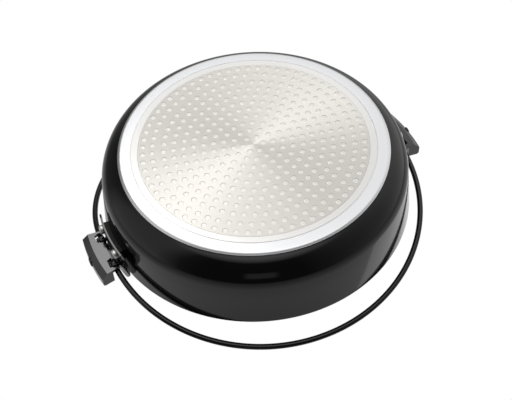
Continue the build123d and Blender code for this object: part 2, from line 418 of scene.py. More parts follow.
class NodeSheet:
    """A node tree with short calls for adding and joining its nodes."""

    def __init__(self, tree: bpy.types.NodeTree) -> None:
        """Keeps the tree that the nodes go into."""
        self.tree = tree

    def add(self, kind: str, settings: dict | None = None, values: dict | None = None) -> bpy.types.Node:
        """Adds one node.

        Args:
            kind: The node's type name.
            settings: Attributes to set on the node.
            values: Input values by socket name or number.

        Returns:
            The new node.
        """
        node = self.tree.nodes.new(kind)
        for name, value in (settings or {}).items():
            setattr(node, name, value)
        for socket, value in (values or {}).items():
            node.inputs[socket].default_value = value
        return node

    def link(self, source: bpy.types.NodeSocket, target: bpy.types.NodeSocket) -> None:
        """Joins an output to an input."""
        self.tree.links.new(source, target)

    def ramp(self, source: bpy.types.NodeSocket, stops: Sequence[tuple[float, Colour]]) -> bpy.types.Node:
        """Adds a colour ramp with given stops, fed by an output."""
        node = self.add("ShaderNodeValToRGB")
        band = node.color_ramp
        while len(band.elements) < len(stops):
            band.elements.new(0.5)
        for element, (place, colour) in zip(band.elements, stops):
            element.position = place
            element.color = colour
        self.link(source, node.inputs["Fac"])
        return node

    def math(self, operation: str, first: bpy.types.NodeSocket | float,
             second: bpy.types.NodeSocket | float = 0.0) -> bpy.types.NodeSocket:
        """Adds a math node and gives its output."""
        node = self.add("ShaderNodeMath", {"operation": operation})
        for index, item in enumerate((first, second)):
            if isinstance(item, (int, float)):
                node.inputs[index].default_value = item
            else:
                self.link(item, node.inputs[index])
        return node.outputs[0]

    def vary(self, source: bpy.types.NodeSocket, middle: float, spread: float,
             target: bpy.types.NodeSocket) -> None:
        """Feeds an input a value that an output moves about a middle.

        Args:
            source: The output, which runs from 0 to 1.
            middle: The value where the output is at 0.5.
            spread: How far apart the lowest and highest values are.
            target: The input to feed.
        """
        share = self.math("MULTIPLY", source, spread)
        self.link(self.math("ADD", share, middle - spread / 2), target)

    def bump(self, source: bpy.types.NodeSocket, strength: float, distance: float,
             target: bpy.types.NodeSocket) -> None:
        """Feeds a normal input with relief from an output, its depth in metres."""
        node = self.add("ShaderNodeBump", None, {"Strength": strength, "Distance": distance})
        self.link(source, node.inputs["Height"])
        self.link(node.outputs["Normal"], target)


def grey(level: float) -> Colour:
    """A neutral colour of one level."""
    return (level, level, level, 1.0)


def new_group(name: str, inputs: dict[str, float], outputs: Sequence[str]) -> NodeSheet:
    """A shader node group whose sockets are all plain numbers.

    Args:
        name: The name of the group.
        inputs: The default of each input, by the input's name.
        outputs: The name of each output.

    Returns:
        The sheet of the group's tree, still without nodes.
    """
    tree = bpy.data.node_groups.new(name, "ShaderNodeTree")
    for label, default in inputs.items():
        socket = tree.interface.new_socket(name=label, in_out="INPUT", socket_type="NodeSocketFloat")
        socket.default_value = default
    for label in outputs:
        tree.interface.new_socket(name=label, in_out="OUTPUT", socket_type="NodeSocketFloat")
    return NodeSheet(tree)


def new_material(name: str) -> tuple[bpy.types.Material, NodeSheet, bpy.types.Node]:
    """A new material with its sheet of nodes and its Principled shader."""
    material = bpy.data.materials.new(name)
    material.use_nodes = True
    return material, NodeSheet(material.node_tree), material.node_tree.nodes["Principled BSDF"]


@dataclass
class SharedEffects:
    """The node groups that several finishes use."""

    turned_lines: bpy.types.NodeTree = field(init=False)
    surface_mottle: bpy.types.NodeTree = field(init=False)

    def __post_init__(self) -> None:
        """Builds each group once."""
        self.turned_lines = self.build_turned_lines()
        self.surface_mottle = self.build_surface_mottle()

    def build_turned_lines(self) -> bpy.types.NodeTree:
        """Fine rings that a lathe leaves, about the Z axis.

        Returns:
            A group from Rings per metre and Wander to Height and Shade.
        """
        sheet = new_group("Turned lines", {"Rings per metre": 900.0, "Wander": 0.3}, ("Height", "Shade"))
        given = sheet.add("NodeGroupInput")
        result = sheet.add("NodeGroupOutput")
        place = sheet.add("ShaderNodeTexCoord")
        parts = sheet.add("ShaderNodeSeparateXYZ")
        sheet.link(place.outputs["Object"], parts.inputs[0])
        square_x = sheet.math("MULTIPLY", parts.outputs[0], parts.outputs[0])
        square_y = sheet.math("MULTIPLY", parts.outputs[1], parts.outputs[1])
        radius = sheet.math("SQRT", sheet.math("ADD", square_x, square_y))
        scaled = sheet.math("MULTIPLY", radius, given.outputs["Rings per metre"])
        lines = sheet.add("ShaderNodeTexNoise", {"noise_dimensions": "1D"}, {"Detail": 3.0, "Scale": 1.0})
        sheet.link(scaled, lines.inputs["W"])
        drift = sheet.add("ShaderNodeTexNoise", None, {"Scale": 14.0, "Detail": 2.0})
        sheet.link(place.outputs["Object"], drift.inputs["Vector"])
        amount = sheet.math("MULTIPLY", drift.outputs["Fac"], given.outputs["Wander"])
        # Half the usual wander comes off again, so that the shade stays about its middle
        shade = sheet.math("ADD", lines.outputs["Fac"], sheet.math("SUBTRACT", amount, 0.15))
        sheet.link(lines.outputs["Fac"], result.inputs["Height"])
        sheet.link(shade, result.inputs["Shade"])
        return sheet.tree

    def build_surface_mottle(self) -> bpy.types.NodeTree:
        """A slow change of tone with fine specks over it.

        Returns:
            A group from Patch Scale and Speck Scale to Patches and Specks.
        """
        sheet = new_group(
            "Surface mottle", {"Patch Scale": 20.0, "Speck Scale": 900.0}, ("Patches", "Specks"),
        )
        given = sheet.add("NodeGroupInput")
        result = sheet.add("NodeGroupOutput")
        place = sheet.add("ShaderNodeTexCoord")
        patches = sheet.add("ShaderNodeTexNoise", None, {"Detail": 3.0, "Roughness": 0.55})
        specks = sheet.add("ShaderNodeTexNoise", None, {"Detail": 1.0, "Roughness": 0.6})
        sheet.link(place.outputs["Object"], patches.inputs["Vector"])
        sheet.link(place.outputs["Object"], specks.inputs["Vector"])
        sheet.link(given.outputs["Patch Scale"], patches.inputs["Scale"])
        sheet.link(given.outputs["Speck Scale"], specks.inputs["Scale"])
        sheet.link(patches.outputs["Fac"], result.inputs["Patches"])
        sheet.link(specks.outputs["Fac"], result.inputs["Specks"])
        return sheet.tree


@dataclass(frozen=True)
class CoatedBlack:
    """A black coat: enamel, paint, phenolic or non-stick, by its values."""

    name: str
    dark: float
    light: float
    roughness: float
    roughness_spread: float = 0.06
    speck_scale: float = 900.0
    speck_height: float = 0.00001
    speck_strength: float = 0.6
    patch_scale: float = 18.0
    coat: float = 0.0
    coat_roughness: float = 0.14

    def build(self, effects: SharedEffects) -> bpy.types.Material:
        """Makes the material.

        Args:
            effects: The shared node groups.

        Returns:
            The new material.
        """
        material, sheet, shader = new_material(self.name)
        mottle = sheet.add("ShaderNodeGroup", {"node_tree": effects.surface_mottle},
                           {"Patch Scale": self.patch_scale, "Speck Scale": self.speck_scale})
        patches, specks = mottle.outputs["Patches"], mottle.outputs["Specks"]
        tone = sheet.ramp(patches, [(0.3, grey(self.dark)), (0.7, grey(self.light))])
        sheet.link(tone.outputs["Color"], shader.inputs["Base Color"])
        sheet.vary(patches, self.roughness, self.roughness_spread, shader.inputs["Roughness"])
        sheet.bump(specks, self.speck_strength, self.speck_height, shader.inputs["Normal"])
        shader.inputs["Coat Weight"].default_value = self.coat
        shader.inputs["Coat Roughness"].default_value = self.coat_roughness
        return material


@dataclass(frozen=True)
class TurnedMetal:
    """A metal face finished on a lathe, with fine rings about Z."""

    name: str
    dark: Colour
    light: Colour
    roughness: float
    anisotropy: float
    rings_per_metre: float
    line_height: float
    line_strength: float = 0.5
    roughness_spread: float = 0.08
    wander: float = 0.3

    def build(self, effects: SharedEffects) -> bpy.types.Material:
        """Makes the material.

        Args:
            effects: The shared node groups.

        Returns:
            The new material.
        """
        material, sheet, shader = new_material(self.name)
        lines = sheet.add("ShaderNodeGroup", {"node_tree": effects.turned_lines},
                          {"Rings per metre": self.rings_per_metre, "Wander": self.wander})
        tone = sheet.ramp(lines.outputs["Shade"], [(0.25, self.dark), (0.75, self.light)])
        sheet.link(tone.outputs["Color"], shader.inputs["Base Color"])
        height = lines.outputs["Height"]
        sheet.bump(height, self.line_strength, self.line_height, shader.inputs["Normal"])
        sheet.vary(height, self.roughness, self.roughness_spread, shader.inputs["Roughness"])
        shader.inputs["Metallic"].default_value = 1.0
        # A quarter turn lays the streaks across the rings, as on turned metal
        shader.inputs["Anisotropic"].default_value = self.anisotropy
        shader.inputs["Anisotropic Rotation"].default_value = 0.25
        tangent = sheet.add("ShaderNodeTangent", {"direction_type": "RADIAL", "axis": "Z"})
        sheet.link(tangent.outputs["Tangent"], shader.inputs["Tangent"])
        return material


@dataclass(frozen=True)
class BareMetal:
    """Plain metal of a rivet, slightly dulled."""

    name: str
    colour: Colour
    worn: Colour
    roughness: float
    roughness_spread: float = 0.12
    patch_scale: float = 260.0
    speck_scale: float = 1500.0

    def build(self, effects: SharedEffects) -> bpy.types.Material:
        """Makes the material.

        Args:
            effects: The shared node groups.

        Returns:
            The new material.
        """
        material, sheet, shader = new_material(self.name)
        mottle = sheet.add("ShaderNodeGroup", {"node_tree": effects.surface_mottle},
                           {"Patch Scale": self.patch_scale, "Speck Scale": self.speck_scale})
        tone = sheet.ramp(mottle.outputs["Patches"], [(0.3, self.worn), (0.6, self.colour)])
        sheet.link(tone.outputs["Color"], shader.inputs["Base Color"])
        specks = mottle.outputs["Specks"]
        sheet.vary(specks, self.roughness, self.roughness_spread, shader.inputs["Roughness"])
        shader.inputs["Metallic"].default_value = 1.0
        return material


@dataclass
class Finishes:
    """Every finish of the pan, built once."""

    effects: SharedEffects
    enamel: bpy.types.Material = field(init=False)
    nonstick: bpy.types.Material = field(init=False)
    machined_ring: bpy.types.Material = field(init=False)
    inner_ring: bpy.types.Material = field(init=False)
    stud_metal: bpy.types.Material = field(init=False)
    disc_steel: bpy.types.Material = field(init=False)
    bracket_paint: bpy.types.Material = field(init=False)
    foot_paint: bpy.types.Material = field(init=False)
    phenolic: bpy.types.Material = field(init=False)
    wire_paint: bpy.types.Material = field(init=False)
    rivet_metal: bpy.types.Material = field(init=False)
    pin_metal: bpy.types.Material = field(init=False)
    screw_black: bpy.types.Material = field(init=False)

    def __post_init__(self) -> None:
        """Builds the materials from their finishes."""
        made = self.effects
        self.enamel = CoatedBlack(
            "Black enamel", dark=0.003, light=0.004, roughness=0.09, roughness_spread=0.02,
            speck_scale=500.0, speck_height=0.000001,
        ).build(made)
        self.nonstick = CoatedBlack(
            "Non-stick coat", dark=0.022, light=0.032, roughness=0.46, speck_scale=1300.0,
            speck_height=0.00003,
        ).build(made)
        self.machined_ring = TurnedMetal(
            "Machined aluminium", dark=(0.88, 0.885, 0.90, 1.0), light=(0.97, 0.975, 0.985, 1.0),
            roughness=0.38, anisotropy=0.5, rings_per_metre=2400.0, line_height=0.000008,
        ).build(made)
        self.inner_ring = TurnedMetal(
            "Creamy aluminium", dark=(0.86, 0.85, 0.83, 1.0), light=(0.95, 0.94, 0.92, 1.0),
            roughness=0.4, anisotropy=0.6, rings_per_metre=2400.0, line_height=0.000006,
        ).build(made)
        self.stud_metal = TurnedMetal(
            "Aluminium studs", dark=(0.81, 0.79, 0.75, 1.0), light=(0.89, 0.87, 0.83, 1.0),
            roughness=0.42, anisotropy=0.5, rings_per_metre=2000.0, line_height=0.000006,
        ).build(made)
        self.disc_steel = TurnedMetal(
            "Turned steel", dark=(0.80, 0.768, 0.71, 1.0), light=(0.92, 0.90, 0.85, 1.0),
            roughness=0.40, anisotropy=0.88, rings_per_metre=1500.0, line_height=0.000008,
        ).build(made)
        self.bracket_paint = CoatedBlack(
            "Black bracket paint", dark=0.003, light=0.005, roughness=0.12, roughness_spread=0.03,
            speck_scale=500.0, speck_height=0.000002, coat=0.5,
        ).build(made)
        self.foot_paint = CoatedBlack(
            "Dull bracket paint", dark=0.003, light=0.005, roughness=0.62, speck_scale=700.0,
            speck_height=0.000004,
        ).build(made)
        self.phenolic = CoatedBlack(
            "Phenolic", dark=0.004, light=0.007, roughness=0.20, roughness_spread=0.04,
            speck_scale=700.0, speck_height=0.0000006, coat=1.0,
        ).build(made)
        self.wire_paint = CoatedBlack(
            "Gloss black wire", dark=0.003, light=0.005, roughness=0.12, roughness_spread=0.03,
            speck_scale=500.0, speck_height=0.000002,
        ).build(made)
        self.rivet_metal = BareMetal(
            "Rivet aluminium", colour=(0.93, 0.92, 0.90, 1.0), worn=(0.80, 0.79, 0.77, 1.0), roughness=0.42,
        ).build(made)
        self.pin_metal = CoatedBlack(
            "Blackened pin", dark=0.010, light=0.016, roughness=0.3, speck_height=0.000004,
        ).build(made)
        self.screw_black = CoatedBlack("Blackened screw", dark=0.015, light=0.022, roughness=0.3).build(made)


def dress(piece: bpy.types.Object, body: str, nodes: Sequence[str]) -> bpy.types.Object:
    """Gives a finished piece its place in the model.

    Args:
        piece: The new piece.
        body: The CAD body that it rides on.
        nodes: The CAD nodes that it stands for.

    Returns:
        The same piece.
    """
    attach(piece, body)
    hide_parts(*nodes)
    log.info("%s: %d faces, rides on %s", piece.name, len(piece.data.polygons), body)
    return piece


# Sub-assemblies of the pan


@dataclass
class PanBody:
    """The cast pan: enamelled outside, coated bowl, bare machined base."""

    finishes: Finishes
    rim_height: float = 63.6
    rim_radius: float = 133.0
    rim_steps: int = 10
    wall: float = 3.013
    wall_foot: Ring = Ring(129.3, 24.0)
    shoulder: Ring = Ring(102.44, 26.36)
    shoulder_radius: float = 26.96
    shoulder_start: float = -66.4
    shoulder_end: float = -5.34
    shoulder_steps: int = 22
    flat_radius: float = 110.9
    rolled_edge: Steps = (
        (-0.6, 0.0), (-0.1, 0.04), (0.3, 0.16), (0.7, 0.38), (1.1, 0.70), (1.5, 1.08), (2.0, 1.40),
    )
    machined_to: float = 1.45
    floor_height: float = 5.0
    floor_ring: float = 60.0
    corner_radius: float = 20.0
    corner_steps: int = 14
    recess_radius: float = 96.0
    recess_depth: float = 0.8
    recess_edge: Steps = ((0.02, 0.18), (0.25, 0.0))
    groove_radius: float = 102.0
    groove_edges: Steps = ((-0.45, 0.0), (-0.2, 0.22), (0.2, 0.22), (0.45, 0.0))
    segments: int = 256

    @property
    def slope(self) -> float:
        """How far the wall leans out for each millimetre that it rises."""
        return (self.rim_radius - self.wall_foot.radius) / (self.rim_height - self.wall_foot.height)

    def wall_radius(self, height: float) -> float:
        """The outer radius of the leaning wall at a height."""
        return self.wall_foot.radius + self.slope * (height - self.wall_foot.height)

    def build(self) -> list[bpy.types.Object]:
        """Turns the pan, adds the studs and dresses the whole."""
        shell = turn_profile("pan_body_shell", self.base() + self.outside() + self.bowl(), self.segments)
        self.paint(shell)
        smooth(shell, degrees=32.0)
        piece = joined([shell, BaseStuds(self.finishes).build()])
        return [dress(piece, "pan", ["pan_body"])]

    def base(self) -> list[Ring]:
        """The recess for the disc, the groove and the rolled edge of the base."""
        middle = [Ring(0.0, self.recess_depth), Ring(self.recess_radius - 0.05, self.recess_depth)]
        recess = rings_from(Ring(self.recess_radius, 0.0), self.recess_edge)
        groove = rings_from(Ring(self.groove_radius, 0.0), self.groove_edges)
        return middle + recess + groove + rings_from(Ring(self.flat_radius, 0.0), self.rolled_edge)

    def outside(self) -> list[Ring]:
        """The shoulder, the leaning wall and the round of the rim."""
        lean = math.atan(self.slope)
        crown = self.wall / 2
        top = self.rim_height - crown
        rim = Ring(self.rim_radius - crown * self.slope - crown / math.cos(lean), top)
        first = -math.degrees(lean)
        shoulder = arc_rings(
            self.shoulder, self.shoulder_radius, self.shoulder_start, self.shoulder_end, self.shoulder_steps,
        )
        return shoulder + arc_rings(rim, crown, first, 180.0 + first, self.rim_steps)

    def bowl(self) -> list[Ring]:
        """The inside, from the round corner to the middle of the floor."""
        lean = math.atan(self.slope)
        height = self.floor_height + self.corner_radius
        inset = (self.wall + self.corner_radius) / math.cos(lean)
        corner = Ring(self.wall_radius(height) - inset, height)
        inside = arc_rings(corner, self.corner_radius, -math.degrees(lean), -90.0, self.corner_steps)
        return inside + [Ring(self.floor_ring, self.floor_height), Ring(0.0, self.floor_height)]

    def paint(self, shell: bpy.types.Object) -> None:
        """Gives the outside, the bowl and the bare base their own finishes."""
        made = self.finishes
        for material in (made.enamel, made.nonstick, made.machined_ring, made.inner_ring):
            shell.data.materials.append(material)
        floor = self.floor_height * MM
        inner = (self.rim_radius - self.wall / 2) * MM
        inwards_from, level_from, down_from = -0.02, 0.9, 0.5

        def in_bowl(face: bmesh.types.BMFace) -> bool:
            """Whether a face belongs to the coated bowl."""
            centre = face.calc_center_median()
            flat = Vector((centre.x, centre.y, 0.0))
            inwards = flat.length > 0.0 and face.normal.dot(flat.normalized()) < inwards_from
            bottom = face.normal.z > level_from and centre.z < 1.2 * floor
            return (inwards and centre.z > floor and flat.length < inner) or bottom

        def on_base(face: bmesh.types.BMFace) -> bool:
            """Whether a face belongs to the machined base."""
            return face.calc_center_median().z < self.machined_to * MM and face.normal.z < down_from

        def inside_groove(face: bmesh.types.BMFace) -> bool:
            """Whether a face belongs to the base inside the groove."""
            return on_base(face) and face.calc_center_median().to_2d().length < self.groove_radius * MM

        enter_edit(shell, "FACE")
        for slot, test in enumerate((in_bowl, on_base, inside_groove), start=1):
            paint_faces(shell, slot, test)
        leave_edit()


@dataclass
class BaseStuds:
    """The studs of aluminium that fill the holes of the disc."""

    finishes: Finishes
    inner_pitch: float = 8.28
    inner_count: int = 9
    outer_radii: tuple[float, float] = (84.0, 92.0)
    holes_per_step: int = 6
    start_angle: float = 15.9
    top_radius: float = 1.85
    top_height: float = 0.01
    top_edge: float = 0.02
    hole_radius: float = 2.29
    groove_depth: float = 0.12
    depth: float = 0.8
    root: float = 0.1
    sides: int = 14

    def centres(self) -> list[tuple[float, float]]:
        """The centres of all the studs, ring after ring, in millimetres."""
        radii = [self.inner_pitch * (number + 1) for number in range(self.inner_count)]
        radii += list(self.outer_radii)
        places = []
        for number, radius in enumerate(radii, start=1):
            count = self.holes_per_step * number
            for index in range(count):
                angle = math.radians(self.start_angle + 360.0 * index / count)
                places.append((radius * math.cos(angle), radius * math.sin(angle)))
        return places

    def build(self) -> bpy.types.Object:
        """Models one stud, copies it to every hole and joins the copies."""
        rings = [
            Ring(0.0, self.top_height),
            Ring(self.top_radius, self.top_edge),
            Ring(self.hole_radius, self.groove_depth),
            Ring(self.hole_radius, self.depth + self.root),
        ]
        stud = turn_profile("stud", rings, self.sides)
        smooth(stud, degrees=6.0)
        stud.data.materials.append(self.finishes.stud_metal)
        copies = [
            copy_of(stud, f"stud_{index}", Matrix.Translation((x * MM, y * MM, 0.0)))
            for index, (x, y) in enumerate(self.centres())
        ]
        bpy.data.objects.remove(stud, do_unlink=True)
        return joined(copies)


@dataclass
class InductionDisc:
    """The perforated steel disc let into the base."""

    finishes: Finishes

    def build(self, node: bpy.types.Object) -> None:
        """Keeps the CAD disc, whose holes are true, and gives it its steel."""
        node.data.materials.clear()
        node.data.materials.append(self.finishes.disc_steel)
        log.info("induction_disc: CAD node kept, %d faces", len(node.data.polygons))


@dataclass
class EarBracket:
    """The painted steel bracket: a foot on the wall and a plate outside it.

    The wall's radius is given at the lower and the upper edge of the foot.
    """

    finishes: Finishes
    inner: float = 134.8
    outer: float = 136.4
    bottom: float = 41.5
    top: float = 67.0
    half_length: float = 31.0
    corner: float = 9.0
    corner_steps: int = 10
    plate_steps: int = 28
    foot_low: float = 43.0
    foot_high: float = 54.0
    foot_half_angle: float = 7.6
    foot_steps: int = 24
    wall_low: float = 131.075
    wall_high: float = 132.103
    foot_gap: float = 0.02
    foot_overlap: float = 0.5
    softness: float = 0.5

    def build(self) -> list[bpy.types.Object]:
        """Models the right bracket, copies it to the left and dresses both."""
        plate = self.plate()
        foot = self.foot()
        for piece in (plate, foot):
            piece.data.materials.append(self.finishes.bracket_paint)
            piece.data.materials.append(self.finishes.foot_paint)
        for face in foot.data.polygons:
            face.material_index = 1
        join_on(plate, foot)
        soften_edges(plate, self.softness, segments=3, degrees=40.0)
        smooth(plate, degrees=40.0)
        even_normals(plate)
        plate.name = "bracket_right_plate"
        twin = copy_of(plate, "bracket_left_plate", Ear.LEFT.turn)
        return [
            dress(plate, "pan", ["bracket_right"]),
            dress(twin, "pan", ["bracket_left"]),
        ]

    def plate(self) -> bpy.types.Object:
        """The upright plate, bent to the pan and rounded at its corners."""
        deselect_all()
        bpy.ops.mesh.primitive_plane_add(size=1.0, location=(0.0, 0.0, 0.0))
        bpy.context.object.scale = (2 * self.half_length * MM, (self.top - self.bottom) * MM, 1.0)
        plate = named_primitive("bracket_plate")
        enter_edit(plate, "VERT")
        bpy.ops.mesh.select_all(action="SELECT")
        bpy.ops.mesh.bevel(offset=self.corner * MM, segments=self.corner_steps, affect="VERTICES")
        leave_edit()
        # Stand it up facing +X, with its length along Y
        for axis in ("X", "Z"):
            plate.data.transform(Matrix.Rotation(math.pi / 2, 4, axis))
        plate.data.transform(Matrix.Translation((self.inner * MM, 0.0, (self.bottom + self.top) / 2 * MM)))
        enter_edit(plate, "FACE")
        bpy.ops.mesh.select_all(action="SELECT")
        bpy.ops.mesh.extrude_region_move(
            TRANSFORM_OT_translate={"value": ((self.outer - self.inner) * MM, 0.0, 0.0)}
        )
        for step in range(1, self.plate_steps):
            y = (-self.half_length + 2 * self.half_length * step / self.plate_steps) * MM
            bpy.ops.mesh.select_all(action="SELECT")
            bpy.ops.mesh.bisect(plane_co=(0.0, y, 0.0), plane_no=(0.0, 1.0, 0.0))
        # Bend it: each point keeps its distance from the pan's axis
        mesh = bmesh.from_edit_mesh(plate.data)
        for point in mesh.verts:
            radius = point.co.x
            point.co.x = math.sqrt(radius * radius - point.co.y * point.co.y)
        bmesh.update_edit_mesh(plate.data)
        leave_edit()
        outward_normals(plate)
        return plate

    def foot(self) -> bpy.types.Object:
        """The pad between the plate and the leaning wall."""
        outer = self.inner + self.foot_overlap
        section = [
            Ring(self.wall_low + self.foot_gap, self.foot_low),
            Ring(outer, self.foot_low),
            Ring(outer, self.foot_high),
            Ring(self.wall_high + self.foot_gap, self.foot_high),
        ]
        return spin_section("bracket_foot", section, self.foot_half_angle, self.foot_steps)


@dataclass
class BracketRivets:
    """Two aluminium rivets at each ear, headed outside and in the bowl.

    The start of a head is its radius and its distance from the pan's axis.
    """

    finishes: Finishes
    angle: float = 6.0
    height: float = 47.0
    inner_start: Ring = Ring(4.5, 127.3)
    inner_head: Steps = ((-1.71, 0.12), (-0.45, 0.55), (0.0, 1.1), (0.0, 1.6))
    shank: Steps = ((2.5, 128.9), (2.5, 136.4))
    outer_start: Ring = Ring(4.0, 136.4)
    outer_head: Steps = ((-0.12, 0.0), (0.0, 0.25), (0.0, 2.1), (-0.28, 2.8), (-1.12, 3.25))
    outer_length: float = 3.4
    sides: int = 40

    def build(self) -> list[bpy.types.Object]:
        """Models one rivet, sets it four times and dresses each pair."""
        rings = [Ring(0.0, self.inner_start.height)]
        rings += rings_from(self.inner_start, self.inner_head)
        rings += [Ring(radius, place) for radius, place in self.shank]
        rings += rings_from(self.outer_start, self.outer_head)
        rings += [Ring(0.0, self.outer_start.height + self.outer_length)]
        model = turn_profile("rivet", rings, self.sides)
        smooth(model, degrees=50.0)
        model.data.materials.append(self.finishes.rivet_metal)
        lift = Matrix.Translation((0.0, 0.0, self.height * MM))
        pairs = []
        for ear in Ear:
            pair = []
            for way in (-1, 1):
                turn = ear.turn @ Matrix.Rotation(way * math.radians(self.angle), 4, "Z")
                pair.append(copy_of(model, f"rivet_{ear.label}_{way}", lift @ turn @ LAY_DOWN))
            rivets = joined(pair)
            rivets.name = f"rivets_{ear.label}_headed"
            pairs.append(dress(rivets, "pan", [f"bracket_rivets_{ear.label}"]))
        bpy.data.objects.remove(model, do_unlink=True)
        return pairs


@dataclass
class GripBlock:
    """The moulded phenolic block of each ear."""

    finishes: Finishes
    half_angle: float = 8.83
    under: float = 56.4
    top: float = 70.0
    lip: float = 138.0
    short_shelf: float = 139.4
    edge: float = 150.0
    outer: float = 155.3
    bevel_height: float = 61.3
    pocket: float = 145.0
    shelf_top: float = 59.2
    top_chamfer: float = 1.4
    pivot_offset: float = 14.5
    eye_notch: tuple[float, float] = (5.2, 141.8)
    head_notch: tuple[float, float] = (4.2, 143.9)
    cut_start: float = 130.0
    cut_margins: tuple[float, float] = (2.0, 4.0)
    pad_half_angle: float = 3.7
    pad_start: float = 136.45
    pad_end: float = 148.0
    pad_overlap: float = 0.01
    screw_height: float = 63.6
    seat_radius: float = 4.3
    seat_start: float = 153.7
    seat_cut: float = 10.0
    softness: float = 0.55
    block_steps: int = 16
    pad_steps: int = 6
    seat_sides: int = 40

    def build(self) -> list[bpy.types.Object]:
        """Models the right grip, copies it to the left and dresses both."""
        grip = spin_section("grip_block", self.block_section(), self.half_angle, self.block_steps)
        self.cut_under(grip, -self.pivot_offset, self.pivot_offset, self.short_shelf)
        for way in (-1, 1):
            for half_width, reach in (self.eye_notch, self.head_notch):
                middle = way * self.pivot_offset
                self.cut_under(grip, middle - half_width, middle + half_width, reach)
        join_on(grip, spin_section("pad", self.pad_section(), self.pad_half_angle, self.pad_steps))
        seat = (self.seat_start, 0.0, self.screw_height)
        cut_away(grip, add_rod("seat", self.seat_radius, seat, self.seat_cut, self.seat_sides))
        soften_edges(grip, self.softness, segments=3, degrees=38.0)
        smooth(grip, degrees=38.0)
        even_normals(grip)
        grip.name = "grip_right_block"
        grip.data.materials.append(self.finishes.phenolic)
        twin = copy_of(grip, "grip_left_block", Ear.LEFT.turn)
        return [dress(grip, "pan", ["grip_right"]), dress(twin, "pan", ["grip_left"])]

    def cut_under(self, grip: bpy.types.Object, near: float, far: float, reach: float) -> None:
        """Cuts the shelf under the block back.

        Args:
            grip: The block.
            near: Where the cut starts along Y.
            far: Where the cut ends along Y.
            reach: How far out along X the cut goes.
        """
        below, above = self.cut_margins
        low = (self.cut_start, near, self.under - below)
        cut_away(grip, add_block("cut", low, (reach, far, self.shelf_top + above)))

    def block_section(self) -> list[Ring]:
        """The corners of the block's section."""
        return [
            Ring(self.lip, self.under),
            Ring(self.edge, self.under),
            Ring(self.outer, self.bevel_height),
            Ring(self.outer, self.top - self.top_chamfer),
            Ring(self.outer - self.top_chamfer, self.top),
            Ring(self.pocket, self.top),
            Ring(self.pocket, self.shelf_top),
            Ring(self.lip, self.shelf_top),
        ]

    def pad_section(self) -> list[Ring]:
        """The corners of the pad that seats on the bracket plate."""
        foot = self.shelf_top - self.pad_overlap
        roof = self.top - self.top_chamfer
        return [
            Ring(self.pad_start, foot), Ring(self.pad_end, foot),
            Ring(self.pad_end, roof), Ring(self.pad_start, roof),
        ]


@dataclass
class GripScrews:
    """The screw that holds each grip on its bracket."""

    finishes: Finishes
    height: float = 63.6
    head_start: Ring = Ring(4.0, 153.7)
    head: Steps = ((0.0, 0.0), (0.0, 1.7), (-0.24, 2.15), (-1.0, 2.5))
    head_length: float = 2.6
    shank_radius: float = 2.0
    shank_start: float = 134.0
    recess_reach: float = 2.0
    recess_half_width: float = 0.45
    recess_depth: float = 1.3
    recess_margin: float = 1.0
    sides: int = 36

    def build(self) -> list[bpy.types.Object]:
        """Models one screw with a cross recess, sets two and dresses them."""
        end = self.head_start.height + self.head_length
        rings = [
            Ring(0.0, self.shank_start),
            Ring(self.shank_radius, self.shank_start),
            Ring(self.shank_radius, self.head_start.height),
        ]
        rings += rings_from(self.head_start, self.head) + [Ring(0.0, end)]
        screw = turn_profile("screw", rings, self.sides)
        arms = (self.recess_reach, self.recess_half_width)
        for wide, tall in (arms, arms[::-1]):
            low = (-wide, -tall, end - self.recess_depth)
            cut_away(screw, add_block("recess", low, (wide, tall, end + self.recess_margin)))
        smooth(screw, degrees=40.0)
        screw.data.materials.append(self.finishes.screw_black)
        lift = Matrix.Translation((0.0, 0.0, self.height * MM))
        pieces = []
        for ear in Ear:
            node = f"grip_screw_{ear.label}"
            twin = copy_of(screw, f"{node}_cross", lift @ ear.turn @ LAY_DOWN)
            pieces.append(dress(twin, "pan", [node]))
        bpy.data.objects.remove(screw, do_unlink=True)
        return pieces


@dataclass
class PivotPins:
    """The four steel pins that the bails turn on."""

    finishes: Finishes
    offset: float = 14.5
    height: float = 61.0
    shank_radius: float = 2.0
    inner_end: float = 133.9
    head_start: Ring = Ring(3.6, 141.7)
    head: Steps = ((-0.1, 0.0), (0.0, 0.15), (0.0, 1.0), (-0.25, 1.38), (-0.9, 1.5))
    head_length: float = 1.5
    sides: int = 32

    def build(self) -> list[bpy.types.Object]:
        """Models one pin, sets four and dresses them."""
        rings = [
            Ring(0.0, self.inner_end),
            Ring(self.shank_radius, self.inner_end),
            Ring(self.shank_radius, self.head_start.height),
        ]
        rings += rings_from(self.head_start, self.head)
        rings += [Ring(0.0, self.head_start.height + self.head_length)]
        pin = turn_profile("pin", rings, self.sides)
        smooth(pin, degrees=45.0)
        pin.data.materials.append(self.finishes.pin_metal)
        pieces = []
        for ear in Ear:
            for fold in Fold:
                place = Matrix.Translation((0.0, fold.value * self.offset * MM, self.height * MM))
                node = f"pin_{fold.label}_{ear.label}"
                twin = copy_of(pin, f"{node}_headed", place @ ear.turn @ LAY_DOWN)
                pieces.append(dress(twin, "pan", [node]))
        bpy.data.objects.remove(pin, do_unlink=True)
        return pieces


